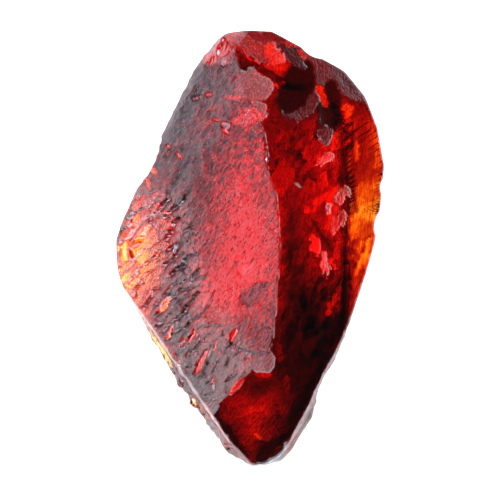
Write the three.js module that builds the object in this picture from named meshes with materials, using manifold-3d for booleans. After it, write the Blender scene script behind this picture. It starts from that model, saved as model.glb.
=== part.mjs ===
// A rough pyrope garnet, lying on its broad back fracture with its long ridge up.
// One solid stone: flat fracture faces, a short girdle wall round them, spoon-shaped conchoidal
// hollows at the top, a field of etched pits on the low left lobe, growth steps beside it, and
// chips along the edges. Millimetres, +Z up, +Y from the narrow tip to the broad shoulder.
// The origin is at the middle of the stone's box, on the surface that it rests on.

import * as THREE from "three";
import { mergeVertices } from "three/addons/utils/BufferGeometryUtils.js";
import Module from "manifold-3d";

// Driving dimensions
const LENGTH = 30.0; // from the tip to the top of the shoulder
const RIDGE_HEIGHT = 11.0; // the highest point of the ridge above the resting face

// Everything below is drawn in millimetres on a stone of very nearly this size. The finished
// stone is brought to exactly LENGTH and RIDGE_HEIGHT, and its width follows its length.

// Front faces. Each passes through a point [x, y, z] and climbs by rise[0] a millimetre to the
// right and by rise[1] a millimetre towards the shoulder.
const FRONT_FACES = [
  { name: "satin main face", at: [1.67, 0.0, 11.0], rise: [0.3, 0.02] },
  { name: "right face", at: [1.67, 0.0, 11.0], rise: [-0.7, -0.06] },
  { name: "lower right face", at: [1.75, -4.2, 10.94], rise: [-0.84, 0.12] },
  { name: "tip face", at: [-0.3, -9.3, 8.7], rise: [0.22, 0.85] },
  { name: "face right of the tip", at: [1.45, -9.3, 9.1], rise: [-0.5, 0.6] },
  { name: "left lobe", at: [-3.4, 0.0, 9.55], rise: [0.92, 0.16] },
  { name: "foot of the left lobe", at: [-2.9, -6.6, 8.3], rise: [0.7, 0.4] },
  { name: "upper left face", at: [-3.1, 8.6, 9.0], rise: [0.85, -0.3] },
  { name: "left rim", at: [-5.0, 9.2, 7.2], rise: [1.9, -0.9] },
  { name: "shoulder", at: [0.4, 12.05, 10.86], rise: [0.05, -1.0] },
  { name: "right shoulder", at: [3.5, 10.3, 9.0], rise: [-0.5, -0.6] },
  { name: "right margin", at: [7.0, 2.7, 7.0], rise: [-0.8, -0.05] },
  { name: "upper right margin", at: [7.1, 9.6, 6.3], rise: [-0.65, -0.45] },
];

// Back faces, seen from below: the same two values, with the stone above them.
const BACK_FACES = [
  { name: "resting face", at: [0.0, 0.0, 0.0], rise: [0.0, 0.0] },
  { name: "back of the lobe", at: [-9.2, 0.4, 1.6], rise: [-0.2, -0.04] },
  { name: "back of the upper left", at: [-4.7, 9.7, 3.2], rise: [-1.2, 0.5] },
  { name: "back of the shoulder", at: [0.7, 14.9, 1.8], rise: [0.06, 0.2] },
  { name: "back of the right shoulder", at: [7.0, 11.3, 2.0], rise: [0.28, 0.22] },
  { name: "back of the right face", at: [9.1, 3.0, 0.98], rise: [0.17, -0.045] },
  { name: "back of the lower right", at: [6.3, -6.0, 2.6], rise: [0.7, -0.3] },
  { name: "back of the tip", at: [0.4, -14.9, 0.9], rise: [0.05, -0.145] },
  { name: "back of the lower left", at: [-4.7, -9.3, 2.9], rise: [-0.8, -0.45] },
];

// The girdle, clockwise from the left shoulder. A wall runs from each corner to the next. It is
// upright, or leans out towards the bottom by lean millimetres a millimetre below its corners.
const GIRDLE = [
  { at: [-2.1, 14.45], lean: 0 },
  { at: [-1.55, 14.79], lean: 0 },
  { at: [-0.24, 14.97], lean: 0 },
  { at: [1.55, 14.9], lean: 0 },
  { at: [6.45, 12.28], lean: 0 },
  { at: [7.9, 10.52], lean: 0 },
  { at: [8.72, 8.41], lean: 0 },
  { at: [9.21, 5.76], lean: 0 },
  { at: [8.97, 3.21], lean: 0 },
  { at: [8.55, 0.45], lean: 0 },
  { at: [7.31, -3.76], lean: 0.03 },
  { at: [6.52, -6.03], lean: 0.05 },
  { at: [4.35, -10.93], lean: 0.12 },
  { at: [3.76, -12.07], lean: 0.12 },
  { at: [2.72, -13.73], lean: 0.12 },
  { at: [2.24, -14.24], lean: 0.1 },
  { at: [1.07, -14.83], lean: 0.08 },
  { at: [0.03, -14.83], lean: 0.08 },
  { at: [-1.79, -13.0], lean: 0.1 },
  { at: [-3.76, -10.21], lean: 0.1 },
  { at: [-6.24, -6.48], lean: 0.06 },
  { at: [-8.72, -2.66], lean: 0 },
  { at: [-9.1, -1.41], lean: 0 },
  { at: [-9.21, 0.66], lean: 0 },
  { at: [-8.83, 1.83], lean: 0 },
  { at: [-5.35, 9.31], lean: 0 },
  { at: [-3.52, 12.79], lean: 0 },
];
const GIRDLE_FOOT = 3.0; // height at which the leaning walls reach their corners

// Hollows of the front, each a shallow spoon: the middle in plan, half its length and width,
// its depth, and the turn of its length from +X in degrees.
const HOLLOWS = [
  { name: "large spoon below the shoulder", at: [3.28, 10.45], size: [2.1, 1.5], depth: 0.1, turn: 58 },
  { name: "small spoon beside it", at: [5.41, 9.28], size: [2.3, 0.9], depth: 0.1, turn: 86 },
  { name: "shell break on the shoulder", at: [0.86, 13.76], size: [2.1, 1.3], depth: 0.06, turn: 150 },
  { name: "dent in the main face", at: [-0.1, -3.28], size: [0.8, 0.55], depth: 0.14, turn: 30 },
  { name: "basin where lobe and main face meet", at: [-2.38, -4.38], size: [0.9, 0.65], depth: 0.15, turn: 20 },
  { name: "long dent of the main face", at: [-1.7, 6.9], size: [2.2, 1.2], depth: 0.1, turn: 64 },
  { name: "largest slash of the lobe", at: [-3.35, -7.69], size: [1.1, 0.3], depth: 0.16, turn: 64 },
  { name: "slash above it", at: [-3.83, -5.9], size: [0.6, 0.25], depth: 0.12, turn: 66 },
  { name: "outer slash", at: [-5.41, -5.62], size: [0.6, 0.25], depth: 0.12, turn: 62 },
  { name: "upper slash", at: [-5.9, -3.76], size: [0.7, 0.3], depth: 0.12, turn: 58 },
];

// Hollows of the back, in the same terms.
const BACK_HOLLOWS = [
  { name: "shell break under the shoulder", at: [1.0, 11.6], size: [2.6, 1.9], depth: 0.3, turn: 10 },
  { name: "shell break under the right face", at: [6.2, 6.2], size: [2.4, 1.6], depth: 0.2, turn: 80 },
];

// Dents in the outline, and spoons that undercut the lower edges, in the same terms with a height
// for the middle. The dents go through the whole girdle.
const NOTCHES = [
  { name: "dent in the shoulder", at: [4.5, 13.95, 5.0], half: [1.2, 0.74, 12.0], turn: -28 },
  { name: "long dent in the upper left", at: [-7.75, 6.45, 5.0], half: [2.9, 1.33, 12.0], turn: 65 },
  { name: "upper dent of the right edge", at: [9.6, 4.3, 5.0], half: [0.83, 0.67, 12.0], turn: 85 },
  { name: "lower dent of the right edge", at: [9.35, 1.7, 5.0], half: [1.2, 0.83, 12.0], turn: 81 },
  { name: "dent above the tip's right corner", at: [5.87, -9.46, 5.0], half: [2.2, 1.08, 12.0], turn: 66 },
  { name: "undercut of the lower left edge", at: [-6.0, -6.5, 1.1], half: [3.6, 1.3, 1.95], turn: -59 },
  { name: "undercut left of the tip", at: [-2.9, -11.1, 1.1], half: [2.8, 1.3, 1.95], turn: -54 },
  { name: "undercut right of the tip", at: [2.3, -12.8, 0.7], half: [2.2, 1.1, 2.0], turn: 56 },
];

// Breaks under the thin sides. Two sloping ceilings meet at a top point, each with its rises like
// a face, and end at a wall that passes through a point, faces a direction and draws in by draw
// millimetres a millimetre towards the bottom.
const BREAKS = [
  {
    name: "break under the lobe",
    top: [-8.4, -0.1, 3.85],
    rises: [[0.2, 0.3], [0.2, -0.35]],
    wall: [-5.0, 0.0, 4.6],
    facing: [-1, 0],
    draw: 0.45,
  },
  {
    name: "break under the right margin",
    top: [8.4, 2.3, 4.35],
    rises: [[-0.28, 0.35], [-0.28, -0.55]],
    wall: [5.9, 0.0, 5.0],
    facing: [1, 0],
    draw: 0.33,
  },
];

// Growth steps and short cracks: narrow grooves, each from one point to another.
const STEPS = [
  { from: [-4.4, 6.3], to: [-6.0, 2.6], width: 0.2, depth: 0.2 },
  { from: [-3.9, 4.7], to: [-5.0, 2.3], width: 0.22, depth: 0.22 },
  { from: [-5.5, 2.3], to: [-8.0, 0.5], width: 0.24, depth: 0.26 },
  { from: [-2.6, -5.9], to: [-0.9, -6.3], width: 0.16, depth: 0.16 },
  { from: [-0.4, -6.6], to: [1.3, -7.3], width: 0.13, depth: 0.14 },
];

// The etched field: pits on a jittered lattice whose rows follow the stone's growth direction.
const ETCH = {
  middle: [-5.4, -1.6], // of the lattice in plan
  rows: 13, // of the lattice on each side of its middle
  grain: 56, // degrees from +X, the long axis of the pits
  spacing: [1.1, 0.88], // along and across the grain
  jitter: [0.7, 0.6], // share of the spacing by which a pit is scattered along and across
  size: [0.82, 0.58], // half the length and width of a pit of middle size
  swell: 0.5, // how much longer the largest pit is than the smallest, as a share of the middle size
  depth: 0.17, // of a pit of middle size
  deeper: 0.7, // how much deeper the deepest pit is than the shallowest, as a share
  twist: 26, // degrees by which the pits' long axes are scattered
  tip: 12, // degrees that a pit dips, so that its far rim is a step
  corners: [[-6.1, 5.7], [-4.5, 5.4], [-3.6, 0.6], [-2.2, -5.2], [-2.9, -9.3], [-4.1, -9.0],
    [-8.0, -3.2], [-8.6, -1.9], [-8.75, 0.2], [-8.3, 1.9]],
};

// Wider pits of the sloping back faces. The resting face stays flat.
const BACK_ETCH = {
  spacing: 1.9,
  jitter: 0.6, // share of the spacing by which a pit is scattered
  size: [0.95, 0.7],
  depth: 0.12,
  tip: 8, // degrees that a pit dips
  reach: [8.2, 13.4], // half axes in plan of the oval that holds the pits
  lowest: 0.5, // height of the back below which there are none, which is the resting face
};

// Chips: one small bite after another along the ridge and the upper rim.
const CHIPPED_EDGES = [
  { from: [0.9, 8.9], to: [1.75, 1.0], count: 6, size: 0.5 },
  { from: [1.8, -0.8], to: [1.5, -8.6], count: 6, size: 0.5 },
  { from: [-2.4, -10.0], to: [1.3, -8.6], count: 4, size: 0.5 },
  { from: [1.3, -9.6], to: [0.5, -13.6], count: 4, size: 0.4 },
  { from: [-1.9, 12.2], to: [0.8, 10.3], count: 3, size: 0.45 },
  { from: [-3.8, 10.3], to: [-4.9, 6.4], count: 4, size: 0.45 },
];

const SPOON_SIDES = 12; // round each hollow, with
const SPOON_RINGS = 8; // rings from pole to pole
const PIT_SIDES = 6; // the same for a pit
const PIT_RINGS = 6;
const CHIP_JITTER = 0.2; // how far a chip lies off its edge
const CHIP_DEPTH = 0.32; // depth and
const CHIP_LENGTH = 1.6; // half length of a chip for each millimetre of its half width
const ROUGH_BLOCK = [24, 36, 14]; // the block that the faces are cut from
const ROUGH_BLOCK_HEIGHT = 6; // of the block's middle

const GARNET_RED = 0x7a0e16;

const wasm = await Module();
wasm.setup();

// A number from 0 to 1 that is always the same for the same three numbers.
function scatter(i, j, k) {
  const s = Math.sin(i * 127.1 + j * 311.7 + k * 74.7) * 43758.5453;
  return s - Math.floor(s);
}

// A closed three.js geometry as a solid.
function solidFrom(geometry) {
  geometry.deleteAttribute("normal");
  geometry.deleteAttribute("uv");
  const merged = mergeVertices(geometry, 1e-5);
  return new wasm.Manifold(new wasm.Mesh({
    numProp: 3,
    vertProperties: merged.attributes.position.array,
    triVerts: new Uint32Array(merged.index.array),
  }));
}

// The open side of a plane, as a large block whose inner face lies on the plane.
function blockOutside(point, normal) {
  const side = 90;
  const block = new THREE.BoxGeometry(side, side, side);
  const outward = normal.clone().normalize();
  const turn = new THREE.Quaternion().setFromUnitVectors(new THREE.Vector3(0, 0, 1), outward);
  block.applyQuaternion(turn);
  block.translate(
    point.x + outward.x * side / 2,
    point.y + outward.y * side / 2,
    point.z + outward.z * side / 2,
  );
  return solidFrom(block);
}

// An upright ellipsoid with the given half axes, turned about +Z.
function ellipsoid({ at, half, turn }) {
  const ball = new THREE.SphereGeometry(1, SPOON_SIDES, SPOON_RINGS);
  ball.rotateX(Math.PI / 2);
  ball.scale(half[0], half[1], half[2]);
  ball.rotateZ(THREE.MathUtils.degToRad(turn));
  ball.translate(at[0], at[1], at[2]);
  return solidFrom(ball);
}

// Height of the front faces over a point of the plan.
function frontHeight(x, y) {
  return Math.min(...FRONT_FACES.map(
    (face) => face.at[2] + face.rise[0] * (x - face.at[0]) + face.rise[1] * (y - face.at[1]),
  ));
}

// Height of the back faces over a point of the plan.
function backHeight(x, y) {
  return Math.max(...BACK_FACES.map(
    (face) => face.at[2] + face.rise[0] * (x - face.at[0]) + face.rise[1] * (y - face.at[1]),
  ));
}

// Unit vector square to a height function at a point, on the side that sign names.
function outwardAt(height, x, y, sign) {
  const step = 0.05;
  return new THREE.Vector3(
    -sign * (height(x + step, y) - height(x - step, y)) / (2 * step),
    -sign * (height(x, y + step) - height(x, y - step)) / (2 * step),
    sign,
  ).normalize();
}

// An ellipsoid that bites a spoon out of a sloping face. Half of its lower half is in the stone,
// so it is twice as tall as the spoon is deep and meets the face on an ellipse of the given size.
function bite(height, sign, { at: [x, y], size, depth, turn, tip = 0 }, sides, rings) {
  const outward = outwardAt(height, x, y, sign);
  const rim = Math.sqrt(0.75);
  const tall = 2 * depth;
  const ball = new THREE.SphereGeometry(1, sides, rings);
  ball.rotateX(Math.PI / 2);
  ball.scale(size[0] / rim, size[1] / rim, tall);
  ball.rotateY(THREE.MathUtils.degToRad(tip));
  ball.rotateZ(THREE.MathUtils.degToRad(turn));
  ball.applyQuaternion(new THREE.Quaternion().setFromUnitVectors(new THREE.Vector3(0, 0, sign), outward));
  const lift = tall - depth;
  ball.translate(x + outward.x * lift, y + outward.y * lift, height(x, y) + outward.z * lift);
  return solidFrom(ball);
}

// True where a point of the plan is inside a ring of corners.
function inside(x, y, corners) {
  let within = false;
  corners.forEach(([ax, ay], i) => {
    const [bx, by] = corners[(i + corners.length - 1) % corners.length];
    if ((ay > y) !== (by > y) && x < (bx - ax) * (y - ay) / (by - ay) + ax) within = !within;
  });
  return within;
}

// The stone's flat faces, cut from a block.
function facetedBody() {
  const cuts = [];
  for (const { at, rise } of FRONT_FACES) {
    cuts.push(blockOutside(new THREE.Vector3(...at), new THREE.Vector3(-rise[0], -rise[1], 1)));
  }
  for (const { at, rise } of BACK_FACES) {
    cuts.push(blockOutside(new THREE.Vector3(...at), new THREE.Vector3(rise[0], rise[1], -1)));
  }
  GIRDLE.forEach(({ at, lean }, i) => {
    const next = GIRDLE[(i + 1) % GIRDLE.length].at;
    const outward = new THREE.Vector3(at[1] - next[1], next[0] - at[0], 0).normalize();
    cuts.push(blockOutside(
      new THREE.Vector3(at[0], at[1], GIRDLE_FOOT),
      new THREE.Vector3(outward.x, outward.y, lean),
    ));
  });
  const rough = new THREE.BoxGeometry(...ROUGH_BLOCK);
  rough.translate(0, 0, ROUGH_BLOCK_HEIGHT);
  return solidFrom(rough).subtract(wasm.Manifold.union(cuts));
}

// The space under a thin side: below both of its ceilings and beyond its wall.
function breakUnder({ top, rises, wall, facing, draw }) {
  const point = new THREE.Vector3(...top);
  return wasm.Manifold.intersection([
    ...rises.map((rise) => blockOutside(point, new THREE.Vector3(rise[0], rise[1], -1))),
    blockOutside(new THREE.Vector3(...wall), new THREE.Vector3(facing[0], facing[1], -draw)),
  ]);
}

// The conchoidal hollows of both sides, the notches of the outline and the breaks under it.
function hollows() {
  return [
    ...HOLLOWS.map((hollow) => bite(frontHeight, 1, hollow, SPOON_SIDES, SPOON_RINGS)),
    ...BACK_HOLLOWS.map((hollow) => bite(backHeight, -1, hollow, SPOON_SIDES, SPOON_RINGS)),
    ...NOTCHES.map(ellipsoid),
    ...BREAKS.map(breakUnder),
  ];
}

// Each growth step is a thin spoon laid in the face between its two ends.
function growthSteps() {
  return STEPS.map(({ from, to, width, depth }) => {
    const run = [to[0] - from[0], to[1] - from[1]];
    return bite(frontHeight, 1, {
      at: [from[0] + run[0] / 2, from[1] + run[1] / 2],
      size: [Math.hypot(...run) / 2, width],
      depth,
      turn: THREE.MathUtils.radToDeg(Math.atan2(run[1], run[0])),
    }, SPOON_SIDES, PIT_RINGS);
  });
}

// The etched pits of the lobe, each jittered in place, size, turn and depth.
function etchedField() {
  const pits = [];
  const along = THREE.MathUtils.degToRad(ETCH.grain);
  for (let row = -ETCH.rows; row <= ETCH.rows; row += 1) {
    for (let column = -ETCH.rows; column <= ETCH.rows; column += 1) {
      const shift = [1, 2].map((k) => ETCH.jitter[k - 1] * (scatter(row, column, k) - 0.5));
      const a = (row + 0.5 * (column % 2) + shift[0]) * ETCH.spacing[0];
      const b = (column + shift[1]) * ETCH.spacing[1];
      const x = ETCH.middle[0] + a * Math.cos(along) - b * Math.sin(along);
      const y = ETCH.middle[1] + a * Math.sin(along) + b * Math.cos(along);
      if (!inside(x, y, ETCH.corners)) continue;
      const swell = ETCH.swell * (scatter(row, column, 3) - 0.5);
      pits.push(bite(frontHeight, 1, {
        at: [x, y],
        size: [ETCH.size[0] * (1 + swell), ETCH.size[1] * (1 - swell / 2)],
        depth: ETCH.depth * (1 + ETCH.deeper * (scatter(row, column, 4) - 0.5)),
        turn: ETCH.grain + ETCH.twist * (scatter(row, column, 5) - 0.5),
        tip: ETCH.tip,
      }, PIT_SIDES, PIT_RINGS));
    }
  }
  return pits;
}

// Wider pits on the sloping faces of the back.
function backPits() {
  const pits = [];
  const { spacing, jitter, size, depth, tip, reach, lowest } = BACK_ETCH;
  const rows = Math.ceil(reach[1] / spacing);
  for (let row = -rows; row <= rows; row += 1) {
    for (let column = -rows; column <= rows; column += 1) {
      const x = (column + 0.5 * (row % 2) + jitter * (scatter(row, column, 6) - 0.5)) * spacing;
      const y = (row + jitter * (scatter(row, column, 7) - 0.5)) * spacing;
      const within = Math.hypot(x / reach[0], y / reach[1]) < 1;
      if (!within || backHeight(x, y) < lowest) continue;
      const turn = 180 * scatter(row, column, 8);
      pits.push(bite(backHeight, -1, { at: [x, y], size, depth, turn, tip }, PIT_SIDES, PIT_RINGS));
    }
  }
  return pits;
}

// Small bites along an edge, scattered in place and size.
function chips() {
  return CHIPPED_EDGES.flatMap(({ from, to, count, size }, edge) =>
    Array.from({ length: count }, (_, i) => {
      const t = (i + 0.5 + 0.5 * (scatter(edge, i, 9) - 0.5)) / count;
      const swell = size * (0.7 + 0.7 * scatter(edge, i, 11));
      return bite(frontHeight, 1, {
        at: [
          from[0] + t * (to[0] - from[0]) + CHIP_JITTER * (scatter(edge, i, 10) - 0.5),
          from[1] + t * (to[1] - from[1]),
        ],
        size: [swell * CHIP_LENGTH, swell],
        depth: swell * CHIP_DEPTH,
        turn: THREE.MathUtils.radToDeg(Math.atan2(to[1] - from[1], to[0] - from[0])),
      }, PIT_SIDES, PIT_RINGS);
    }));
}

// The finished stone as one three.js geometry.
function stoneGeometry() {
  const bites = [...hollows(), ...growthSteps(), ...etchedField(), ...backPits(), ...chips()];
  const whole = facetedBody().subtract(wasm.Manifold.union(bites));
  const [stone] = whole.decompose().sort((a, b) => b.volume() - a.volume());
  const mesh = stone.getMesh();
  const geometry = new THREE.BufferGeometry();
  geometry.setAttribute("position", new THREE.BufferAttribute(mesh.vertProperties, 3));
  geometry.setIndex(new THREE.BufferAttribute(mesh.triVerts, 1));
  geometry.computeBoundingBox();
  const box = geometry.boundingBox;
  const middle = box.getCenter(new THREE.Vector3());
  const drawn = box.getSize(new THREE.Vector3());
  geometry.translate(-middle.x, -middle.y, -box.min.z);
  geometry.scale(LENGTH / drawn.y, LENGTH / drawn.y, RIDGE_HEIGHT / drawn.z);
  geometry.computeVertexNormals();
  return geometry;
}

const garnet = new THREE.Mesh(
  stoneGeometry(),
  new THREE.MeshStandardMaterial({ color: GARNET_RED, roughness: 0.35, metalness: 0 }),
);
garnet.name = "pyrope_garnet";

const group = new THREE.Group();
group.add(garnet);

export default group;
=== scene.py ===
import itertools
import math

import bpy
import numpy as np
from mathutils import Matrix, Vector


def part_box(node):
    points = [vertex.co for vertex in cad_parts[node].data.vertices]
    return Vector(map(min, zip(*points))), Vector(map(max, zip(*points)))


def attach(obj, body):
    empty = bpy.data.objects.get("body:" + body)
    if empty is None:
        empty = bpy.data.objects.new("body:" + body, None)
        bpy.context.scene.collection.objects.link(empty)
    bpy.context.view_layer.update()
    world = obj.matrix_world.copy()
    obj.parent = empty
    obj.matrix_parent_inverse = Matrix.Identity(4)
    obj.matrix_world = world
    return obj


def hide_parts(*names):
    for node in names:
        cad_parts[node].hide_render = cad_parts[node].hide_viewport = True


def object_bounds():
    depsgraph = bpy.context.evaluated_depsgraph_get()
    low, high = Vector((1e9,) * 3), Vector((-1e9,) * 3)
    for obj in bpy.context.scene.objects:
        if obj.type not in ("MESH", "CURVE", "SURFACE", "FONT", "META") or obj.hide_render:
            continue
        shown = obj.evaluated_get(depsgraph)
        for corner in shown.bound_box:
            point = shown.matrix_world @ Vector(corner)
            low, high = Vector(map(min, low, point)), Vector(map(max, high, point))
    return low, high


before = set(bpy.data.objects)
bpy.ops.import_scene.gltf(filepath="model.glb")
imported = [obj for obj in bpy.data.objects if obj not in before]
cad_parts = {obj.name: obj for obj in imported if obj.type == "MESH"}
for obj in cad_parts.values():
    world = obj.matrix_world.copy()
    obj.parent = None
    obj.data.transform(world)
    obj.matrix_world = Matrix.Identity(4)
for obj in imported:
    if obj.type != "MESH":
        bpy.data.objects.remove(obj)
cad_low, cad_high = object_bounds()
scene = bpy.context.scene

# The camera
# A long lens looks straight down on the stone as it lies on its back, with the tip at the bottom
# of the picture. The picture is square.
PICTURE_WIDTH = 0.03448  # metres across the picture at the height of the girdle
GIRDLE_HEIGHT = 0.0034
LENS = 420.0  # millimetres, on a sensor of
SENSOR = 36.0

camera_data = bpy.data.cameras.new("camera")
camera_data.lens = LENS
camera_data.sensor_width = SENSOR
camera_data.clip_start = 0.01
camera_data.clip_end = 10.0
camera = bpy.data.objects.new("camera", camera_data)
camera.location = (0.0, 0.0, GIRDLE_HEIGHT + PICTURE_WIDTH * LENS / SENSOR)
scene.collection.objects.link(camera)
scene.camera = camera
scene.view_settings.view_transform = "Standard"


# The table
# A plain sheet of white acrylic, lit evenly from below, so that it lights the stone's underside
# and takes no shadow. It is wide enough to fill every view, and isn't part of the stone.
TABLE_SIDE = 4.0
TABLE_WHITE = (0.8, 0.8, 0.8, 1.0)
TABLE_GLOW = 1.45  # brightness of its own light
TABLE_ROUGHNESS = 0.9
TABLE_SHEEN = 0.1

bpy.ops.mesh.primitive_plane_add(size=TABLE_SIDE)
table = bpy.context.object
table.name = "table"
table_paint = bpy.data.materials.new("white acrylic")
table_paint.use_nodes = True
table_shader = table_paint.node_tree.nodes["Principled BSDF"]
table_shader.inputs["Base Color"].default_value = TABLE_WHITE
table_shader.inputs["Roughness"].default_value = TABLE_ROUGHNESS
table_shader.inputs["Specular IOR Level"].default_value = TABLE_SHEEN
table_shader.inputs["Emission Color"].default_value = (1.0, 1.0, 1.0, 1.0)
table_shader.inputs["Emission Strength"].default_value = TABLE_GLOW
table.data.materials.append(table_paint)


# The studio light
# A large soft box hangs to the left, a lower one fills from the lower left, a weak one lights the
# right sides, and a small one gives a few sparks. The room is plain and dim.
ROOM = (0.03, 0.028, 0.032, 1.0)
SOFT_BOXES = [
    {"name": "key", "at": (-0.37, 0.12, 0.53), "side": 0.5, "watts": 5.0, "tint": (1.0, 0.93, 1.22)},
    {"name": "fill", "at": (-0.5, -0.3, 0.27), "side": 0.35, "watts": 3.0, "tint": (1.0, 0.97, 1.0)},
    {"name": "rim", "at": (0.4, 0.05, 0.48), "side": 0.15, "watts": 0.45, "tint": (1.0, 0.88, 0.95)},
    {"name": "spark", "at": (-0.28, 0.2, 0.42), "side": 0.05, "watts": 0.35, "tint": (1.0, 1.0, 1.0)},
]

world = bpy.data.worlds.new("room")
world.use_nodes = True
world.node_tree.nodes["Background"].inputs["Color"].default_value = ROOM
world.node_tree.nodes["Background"].inputs["Strength"].default_value = 1.0
scene.world = world
for box in SOFT_BOXES:
    panel = bpy.data.lights.new(box["name"], "AREA")
    panel.size = box["side"]
    panel.energy = box["watts"]
    panel.color = box["tint"]
    lamp = bpy.data.objects.new(box["name"], panel)
    lamp.location = box["at"]
    towards_stone = -lamp.location
    lamp.rotation_euler = towards_stone.to_track_quat("-Z", "Y").to_euler()
    scene.collection.objects.link(lamp)


# The stone
# A single broken crystal of pyrope garnet: clear, deep red, and amber where it is thin. The faces
# left of its ridge are etched satin, and the fractures right of it are glassy.
# All its sizes are in millimetres until the mesh is made, apart from those said to be in pixels.

# The girdle's corners and the marks are placed by pixels that were chosen on the photograph, which
# is 500 pixels wide and high. They count from its upper left corner.
STONE_PIXELS = 435  # the stone's length there
MIDDLE_PIXEL = 249.5  # where the middle of the stone's box lies, across and down
PIXEL = round(1000 * (cad_high[1] - cad_low[1]) / STONE_PIXELS, 5)  # in millimetres


def millimetres(pixels):
    """A length in pixels as millimetres, to the nearest hundredth."""
    return round(pixels * PIXEL, 2)


def on_stone(pixel):
    """The place in plan that a pixel shows, in millimetres from the stone's middle."""
    return millimetres(pixel[0] - MIDDLE_PIXEL), millimetres(MIDDLE_PIXEL - pixel[1])


# Each face passes through a point, and climbs by its second pair of values: so much a millimetre
# to the right, and so much a millimetre towards the shoulder. At each place, the lowest of the
# front faces and the highest of the back ones bound the stone.
FRONT_FACES = {
    "main face": ((1.67, 0.0, 11.0), (0.3, 0.02)),
    "right face": ((1.67, 0.0, 11.0), (-0.7, -0.06)),
    "lower right face": ((1.75, -4.2, 10.94), (-0.84, 0.12)),
    "tip face": ((-0.3, -9.3, 8.7), (0.22, 0.85)),
    "face right of the tip": ((1.45, -9.3, 9.1), (-0.5, 0.6)),
    "left lobe": ((-3.4, 0.0, 9.55), (0.92, 0.16)),
    "foot of the left lobe": ((-2.9, -6.6, 8.3), (0.7, 0.4)),
    "upper left face": ((-3.1, 8.6, 9.0), (0.85, -0.3)),
    "left rim": ((-5.0, 9.2, 7.2), (1.9, -0.9)),
    "shoulder": ((0.4, 12.05, 10.86), (0.05, -1.0)),
    "right shoulder": ((3.5, 10.3, 9.0), (-0.5, -0.6)),
    "right margin": ((7.0, 2.7, 7.0), (-0.8, -0.05)),
    "upper right margin": ((7.1, 9.6, 6.3), (-0.65, -0.45)),
}
BACK_FACES = {
    "resting face": ((0.0, 0.0, 0.0), (0.0, 0.0)),
    "back of the lobe": ((-9.2, 0.4, 1.6), (-0.2, -0.04)),
    "back of the upper left": ((-4.7, 9.7, 3.2), (-1.2, 0.5)),
    "back of the shoulder": ((0.7, 14.9, 1.8), (0.06, 0.2)),
    "back of the right shoulder": ((7.0, 11.3, 2.0), (0.28, 0.22)),
    "back of the right face": ((9.1, 3.0, 0.98), (0.17, -0.045)),
    "back of the lower right": ((6.3, -6.0, 2.6), (0.7, -0.3)),
    "back of the tip": ((0.4, -14.9, 0.9), (0.05, -0.145)),
    "back of the lower left": ((-4.7, -9.3, 2.9), (-0.8, -0.45)),
}
# The girdle, clockwise from the left shoulder: the corner that each wall starts at, in pixels, and
# how far the wall leans out a millimetre towards the bottom.
GIRDLE = [
    ((219, 40), 0), ((227, 35), 0), ((246, 32.5), 0), ((272, 33.5), 0), ((343, 71.5), 0),
    ((364, 97), 0), ((376, 127.5), 0), ((383, 166), 0), ((379.5, 203), 0), ((373.5, 243), 0),
    ((355.5, 304), 0.03), ((344, 337), 0.05), ((312.5, 408), 0.12), ((304, 424.5), 0.12),
    ((289, 448.5), 0.12), ((282, 456), 0.1), ((265, 464.5), 0.08), ((250, 464.5), 0.08),
    ((223.5, 438), 0.1), ((195, 397.5), 0.1), ((159, 343.5), 0.06), ((123, 288), 0),
    ((117.5, 270), 0), ((116, 240), 0), ((121.5, 223), 0), ((172, 114.5), 0), ((198.5, 64), 0),
]
GIRDLE_FOOT = 3.0  # the height of those corners

# Hollows of the front and of the back: the middle in plan, half the length and width, the depth,
# and the turn of the length from +X in degrees.
HOLLOWS = [
    ((3.28, 10.45), (2.1, 1.5), 0.05, 58), ((5.41, 9.28), (2.3, 0.9), 0.05, 86),
]
BACK_HOLLOWS = [
    ((1.0, 11.6), (2.6, 1.9), 0.3, 10), ((6.2, 6.2), (2.4, 1.6), 0.2, 80),
]
# Dents in the outline, and spoons that undercut the lower walls, as upright ellipsoids: the
# middle, the half axes and the turn.
NOTCHES = [
    ((4.5, 13.95, 5.0), (1.2, 0.74, 12.0), -28), ((-7.75, 6.45, 5.0), (2.9, 1.33, 12.0), 65),
    ((9.6, 4.3, 5.0), (0.83, 0.67, 12.0), 85), ((9.35, 1.7, 5.0), (1.2, 0.83, 12.0), 81),
    ((5.87, -9.46, 5.0), (2.2, 1.08, 12.0), 66),
    ((-6.0, -6.5, 1.1), (3.6, 1.3, 1.95), -59), ((-2.9, -11.1, 1.1), (2.8, 1.3, 1.95), -54),
    ((2.3, -12.8, 0.7), (2.2, 1.1, 2.0), 56),
]
# Breaks under the thin sides. Two sloping ceilings meet at a top point, each with its rises, and
# end at a wall that passes through a point, faces a direction in degrees and draws in by its last
# value a millimetre towards the bottom.
BREAKS = {
    "under the lobe": (
        (-8.4, -0.1, 3.85), ((0.2, 0.3), (0.2, -0.35)), (-5.0, 0.0, 4.6), 180, 0.45,
    ),
    "under the right margin": (
        (8.4, 2.3, 4.35), ((-0.28, 0.35), (-0.28, -0.55)), (5.9, 0.0, 5.0), 0, 0.33,
    ),
}


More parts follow.
